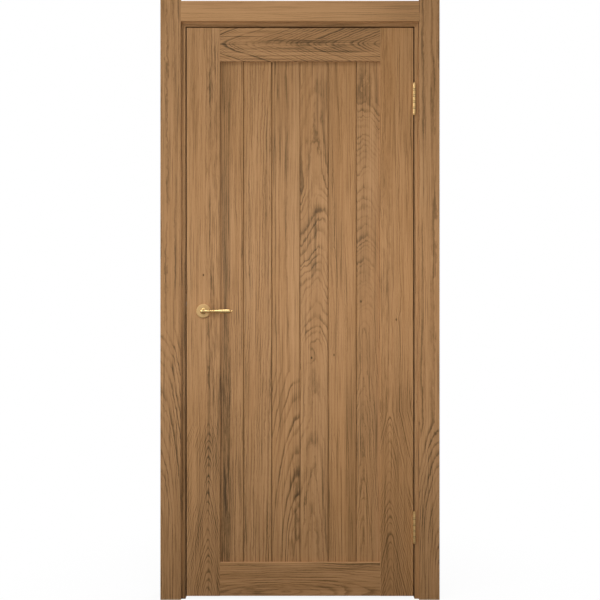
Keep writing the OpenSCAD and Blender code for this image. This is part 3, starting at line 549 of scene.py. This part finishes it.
def metal(name, bright, dull, rough, strokes, tarnish=0.6, axis=None):
    """Worked metal with cloudy tarnish, fine strokes and a grained shine.
    Around a hinge's axis it has painted shade in the grooves of the barrel, and its plates are mixed toward
    a duller brass, so that only the barrel keeps the brighter colour, a painted highlight."""
    material, t, shader = surface(name)
    place = t.add("ShaderNodeTexCoord").outputs["Object"]
    clouds = t.noise(place, (90.0, 90.0, 90.0), 4.0, 0.6)
    grain = t.noise(place, strokes)
    colour = t.mix(t.smooth(clouds, 0.4, 0.75, 0.0, tarnish), bright, dull)
    if axis:
        off = t.vector("MULTIPLY", t.vector("SUBTRACT", place, axis), (1.0, 1.0, 0.0))
        off = t.vector("LENGTH", off)
        # Painted shade in the grooves of the barrel; the plates away from the axis are mixed toward a
        # duller brass
        plate = t.smooth(off, BARREL_R + 0.0005, BARREL_R + 0.0025)
        groove_shade = t.smooth(off, BARREL_R - 0.0006, BARREL_R, 1.0, 0.0)
        colour = t.mix(plate, colour, t.mix(0.5, colour, PLATE_DULL_BRASS))
        colour = t.mix(groove_shade, colour, BARREL_GROOVE_SHADE)
    t.put(shader.inputs["Base Color"], colour)
    shine = t.total(t.line(clouds, 0.25, 0.75, *rough), t.line(grain, 0.3, 0.7, -0.04, 0.04))
    t.put(shader.inputs["Roughness"], shine)
    t.put(shader.inputs["Normal"], t.bump(grain, strength=0.06, distance=0.0002))
    shader.inputs["Metallic"].default_value = 1.0
    return material


def moulded(name, light, dark, rough):
    """Soft or hard moulded plastic with a fine grain."""
    material, t, shader = surface(name)
    place = t.add("ShaderNodeTexCoord").outputs["Object"]
    clouds = t.noise(place, (60.0, 60.0, 60.0), 3.0, 0.55)
    grain = t.noise(place, (2200.0, 2200.0, 2200.0), 1.0)
    t.put(shader.inputs["Base Color"], t.mix(clouds, light, dark))
    t.put(shader.inputs["Roughness"], t.line(grain, 0.3, 0.7, rough - 0.08, rough + 0.08))
    t.put(shader.inputs["Normal"], t.bump(grain, strength=0.15, distance=0.0002))
    return material


lever_brass = metal("brass_lever", srgb(226, 194, 136), srgb(202, 166, 106), (0.2, 0.26),
                    (900.0, 900.0, 900.0), tarnish=0.3)
rose_brass = metal("brass_rose", srgb(216, 180, 128), srgb(196, 160, 106), (0.42, 0.52),
                   (1200.0, 1200.0, 1200.0), tarnish=0.5)
hinge_brass = metal("brass_hinge", srgb(220, 184, 126), srgb(188, 150, 92), HINGE_ROUGH,
                    HINGE_STROKES, tarnish=0.5)
# The barrel's brass is brighter than the hinge's other brass, a painted highlight kept to the barrel.
barrel_brass_highlit = metal("brass_barrel_highlit", srgb(232, 198, 138), srgb(204, 166, 106), HINGE_ROUGH,
                     HINGE_STROKES, tarnish=0.5, axis=HINGE_AXIS)
steel = metal("steel", srgb(196, 196, 198), srgb(150, 151, 155), (0.28, 0.42), (1400.0, 1400.0, 90.0))
rubber = moulded("rubber", srgb(34, 22, 14), srgb(25, 16, 10), 0.62)
nylon = moulded("nylon", srgb(58, 58, 60), srgb(40, 40, 42), 0.5)

FINISH = {
    lever_brass: ("front_lever", "back_lever"),
    rose_brass: ("front_rose", "back_rose"),
    barrel_brass_highlit: (
        "upper_frame_plate", "lower_frame_plate", "upper_leaf_plate", "lower_leaf_plate", "hinge_bearings",
    ),
    hinge_brass: (
        "hinge_tips", "hinge_frame_screws", "hinge_leaf_screws", "strike_plate", "strike_screws",
        "latch_faceplate", "latch_screws",
    ),
    steel: (
        "hinge_pins", "jamb_screws", "latch_case", "latch_cover", "latch_spring", "latch_hub", "latch_bolt",
        "spindle", "grub_screws", "rose_screws",
    ),
    rubber: ("hinge_seal", "lock_seal", "head_seal"),
    nylon: ("strike_box", "front_rose_base", "back_rose_base"),
}
for material, names in FINISH.items():
    for name in names:
        paint(name, material)


# Latch spring, as a copy with a mesh of its own on the leaf, in place of the CAD part

coil = bpy.data.objects.new("latch_coil", nodes["latch_spring"].data.copy())
scene.collection.objects.link(coil)
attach(coil, "leaf")
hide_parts("latch_spring")
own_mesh(coil)


# Camera, light, floor and backdrop

FLOOR_REACH = 14.0
FLOOR_SEEN = srgb(244, 244, 244)
FLOOR_BOUNCE = srgb(112, 110, 106)
SKY_LIGHT = 0.15

camera = bpy.data.objects.new("camera", bpy.data.cameras.new("camera"))
camera.location = (0.0, -3.42, 1.052)
camera.rotation_euler = (math.pi / 2, 0.0, 0.0)
camera.data.lens = 57.95
camera.data.sensor_width = 36.0
scene.collection.objects.link(camera)
scene.camera = camera


def lamp(name, place, target, power, width, height, shine=True):
    """Soft box that points at a target, with or without its own reflection."""
    data = bpy.data.lights.new(name, "AREA")
    data.shape = "RECTANGLE"
    data.size = width
    data.size_y = height
    data.energy = power
    obj = bpy.data.objects.new(name, data)
    obj.location = place
    obj.rotation_euler = (Vector(target) - Vector(place)).to_track_quat("-Z", "Y").to_euler()
    obj.visible_camera = False
    obj.visible_glossy = shine
    scene.collection.objects.link(obj)


lamp("key", (-2.4, -2.2, 1.8), (0.0, 0.0, 0.95), power=26.0, width=1.2, height=1.2)
lamp("top", (-0.5, -1.5, 4.1), (0.0, 0.0, 1.0), power=30.0, width=2.0, height=1.0)
lamp("front", (0.1, -1.15, 1.06), (0.05, 0.0, 1.04), power=9.0, width=1.0, height=0.9, shine=False)
lamp("back", (1.6, 4.2, 2.6), (0.0, 0.0, 1.1), power=135.0, width=1.6, height=1.2, shine=False)
lamp("left", (-3.0, 0.8, 1.4), (-0.49, 0.05, 1.05), power=26.0, width=1.0, height=1.6, shine=False)
lamp("right", (3.0, 0.8, 1.4), (0.49, 0.05, 1.05), power=26.0, width=1.0, height=1.6, shine=False)


def make_world():
    """White to the camera, weak to the surfaces, and in reflections a room that is dimmer low in front."""
    world = bpy.data.worlds.new("world")
    world.use_nodes = True
    t = Tree(world.node_tree)
    sky = world.node_tree.nodes["Background"]
    sky.inputs["Color"].default_value = (1.0, 1.0, 1.0, 1.0)
    path = t.add("ShaderNodeLightPath").outputs
    glossy = t.math("MAXIMUM", path["Is Glossy Ray"], path["Is Transmission Ray"])
    look = t.split(t.add("ShaderNodeTexCoord").outputs["Generated"])
    room = t.line(look[1], -0.5, 0.2, t.line(look[2], -0.2, 0.7, 0.45, 1.0), 1.0)
    strength = t.math("MULTIPLY_ADD", glossy, t.math("SUBTRACT", room, SKY_LIGHT), SKY_LIGHT)
    t.put(sky.inputs["Strength"], t.math("MAXIMUM", strength, path["Is Camera Ray"]))
    return world


def make_floor():
    """Floor that is white to the camera apart from the object's shadow, and grey to the surfaces."""
    mesh = bpy.data.meshes.new("floor")
    corners = [(x * FLOOR_REACH, y * FLOOR_REACH, 0.0) for x, y in ((-1, -1), (1, -1), (1, 1), (-1, 1))]
    mesh.from_pydata(corners, [], [(0, 1, 2, 3)])
    floor = bpy.data.objects.new("floor", mesh)
    scene.collection.objects.link(floor)
    material, t, shader = surface("floor")
    shader.inputs["Roughness"].default_value = 0.8
    path = t.add("ShaderNodeLightPath").outputs
    t.put(shader.inputs["Base Color"], t.mix(path["Is Camera Ray"], FLOOR_BOUNCE, FLOOR_SEEN))
    glossy = t.math("MAXIMUM", path["Is Glossy Ray"], path["Is Transmission Ray"])
    far = t.vector("LENGTH", t.add("ShaderNodeTexCoord").outputs["Object"])
    direct = t.product(path["Is Camera Ray"], t.smooth(far, 0.35, 1.3, 0.92, 1.0))
    mirrored = t.product(glossy, t.smooth(far, 0.3, 5.0, 0.05, 1.0))
    white = t.add("ShaderNodeEmission")
    blend = t.add("ShaderNodeMixShader")
    t.put(blend.inputs[0], t.math("MAXIMUM", direct, mirrored))
    t.put(blend.inputs[1], shader.outputs[0])
    t.put(blend.inputs[2], white.outputs[0])
    t.put(material.node_tree.nodes["Material Output"].inputs["Surface"], blend.outputs[0])
    mesh.materials.append(material)
    return floor


scene.world = make_world()
floor = make_floor()

scene.view_settings.view_transform = "Standard"
